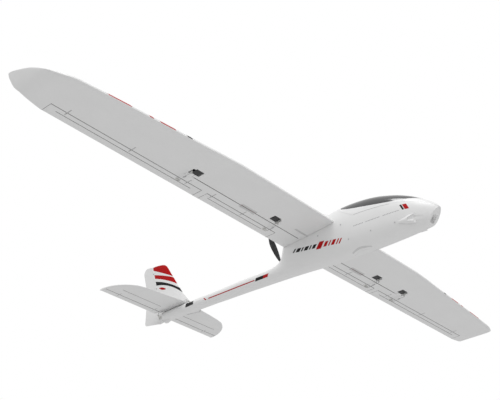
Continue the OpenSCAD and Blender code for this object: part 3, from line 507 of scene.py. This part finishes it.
# three-wire servo leads pressed into the groove on each side, in place of the plain ribbon
a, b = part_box("servo_leads")
y0, y1 = 0.0342, b.y - 0.0002
zlo = a.z + 0.0002
slope = math.tan(math.radians(0.44))
xm = (a.x + b.x) / 2
for s in (-1, 1):
    for i, m in enumerate(("lead_black", "lead_red", "lead_white")):
        pts = []
        for k in range(61):
            y = y0 + (y1 - y0) * k / 60
            wob = 0.00008 * math.sin(k * 0.9 + i)
            pts.append(Vector((xm + wob, s * y, 0.1102 + 0.00042 + 0.00042 * i + (y) * slope)))
        vs, fs = tube(pts, 0.00018, 8)
        mesh_piece("lead_%s_%s" % ("port" if s > 0 else "starboard", m[5:]), vs, fs, M[m], "airframe")
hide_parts("servo_leads")

# ---------------------------------------------------------------- camera
Cc = np.array([1502.88, -1905.93, -1363.14])
Tc = np.array([-214.99, 29.39, 268.22])
roll, fpx = math.radians(-0.66), 931.4
off = np.array([OX, 0, OZ])
ff = (Tc - Cc) / np.linalg.norm(Tc - Cc)
rr = np.cross(ff, (0, 0, 1))
rr /= np.linalg.norm(rr)
uu = np.cross(rr, ff)
cr, sr = math.cos(roll), math.sin(roll)
Xa = cr * rr + sr * uu
Yd = -(-sr * rr + cr * uu)
mm = Matrix(((Xa[0], -Yd[0], -ff[0], 0), (Xa[1], -Yd[1], -ff[1], 0), (Xa[2], -Yd[2], -ff[2], 0), (0, 0, 0, 1)))
mm.translation = Vector((Cc + off) / 1000)
cam = bpy.data.objects.new("camera", bpy.data.cameras.new("camera"))
bpy.context.scene.collection.objects.link(cam)
cam.matrix_world = mm
cam.data.sensor_width = 36
cam.data.lens = fpx / 500 * 36
cam.data.clip_start = 0.05
cam.data.clip_end = 200
bpy.context.scene.camera = cam

# ---------------------------------------------------------------- floor, world and lights
FZ = -5.0
fv, ffc = [], []
R = 60.0
rings = [0.0, 0.5, 1, 2, 4, 8, 16, 32, R]
for i, r in enumerate(rings):
    if i == 0:
        fv.append((0, 0, FZ))
        continue
    for k in range(48):
        t = 2 * math.pi * k / 48
        fv.append((r * math.cos(t), r * math.sin(t), FZ))
for k in range(48):
    ffc.append((0, 1 + k, 1 + (k + 1) % 48))
for i in range(1, len(rings) - 1):
    for k in range(48):
        q = 1 + (i - 1) * 48
        ffc.append((q + k, q + 48 + k, q + 48 + (k + 1) % 48, q + (k + 1) % 48))
fme = bpy.data.meshes.new("floor")
fme.from_pydata(fv, [], ffc)
floor = bpy.data.objects.new("floor", fme)
bpy.context.scene.collection.objects.link(floor)
fmat, g = start("floor_pale")
finish(g, g.mix(noise(g, 0.6, 3), (0.755, 0.755, 0.755), (0.775, 0.775, 0.775)), 0.7, 0.85, 2)
bump(g, noise(g, 30, 3), 0.05, 0.002)
fme.materials.append(fmat)

w = bpy.data.worlds.new("studio")
bpy.context.scene.world = w
w.use_nodes = True
nt = w.node_tree
nt.nodes.clear()
g = G(nt)
out = g.node("ShaderNodeOutputWorld")
bgc = g.node("ShaderNodeBackground")
bgc.inputs[0].default_value = (1, 1, 1, 1)
bgc.inputs[1].default_value = 1.0
bgl = g.node("ShaderNodeBackground")
tc = g.node("ShaderNodeTexCoord")
sep = g.node("ShaderNodeSeparateXYZ")
nt.links.new(tc.outputs["Generated"], sep.inputs[0])
ramp = g.node("ShaderNodeValToRGB")
nt.links.new(g.lin(sep.outputs[2], 0.5, 0.5), ramp.inputs[0])
el = ramp.color_ramp.elements
el[0].position, el[0].color = 0.0, (0.60, 0.60, 0.60, 1)
el[1].position, el[1].color = 1.0, (1.0, 1.0, 1.0, 1)
for ps, v in ((0.42, 0.60), (0.52, 0.60), (0.66, 0.84)):
    e = el.new(ps)
    e.color = (v, v, v, 1)
nt.links.new(ramp.outputs[0], bgl.inputs[0])
bgl.inputs[1].default_value = 0.9
lp = g.node("ShaderNodeLightPath")
mixs = g.node("ShaderNodeMixShader")
nt.links.new(lp.outputs["Is Camera Ray"], mixs.inputs[0])
nt.links.new(bgl.outputs[0], mixs.inputs[1])
nt.links.new(bgc.outputs[0], mixs.inputs[2])
nt.links.new(mixs.outputs[0], out.inputs[0])


def area(name, loc, target, size, power):
    l = bpy.data.lights.new(name, "AREA")
    l.shape = "RECTANGLE"
    l.size, l.size_y = size
    l.energy = power
    o = bpy.data.objects.new(name, l)
    bpy.context.scene.collection.objects.link(o)
    o.location = loc
    o.rotation_euler = (Vector(target) - Vector(loc)).to_track_quat("-Z", "Y").to_euler()
    return o


area("key_top", (0.6, -1.2, 4.2), (0.1, 0, 0.1), (2.4, 2.0), 70)
area("nose_strip", (3.0, -0.6, 1.9), (0.4, 0, 0.1), (0.5, 2.2), 10)

sc = bpy.context.scene
sc.view_settings.view_transform = "Standard"
sc.view_settings.look = "None"
sc.render.film_transparent = False
sc.cycles.use_denoising = True
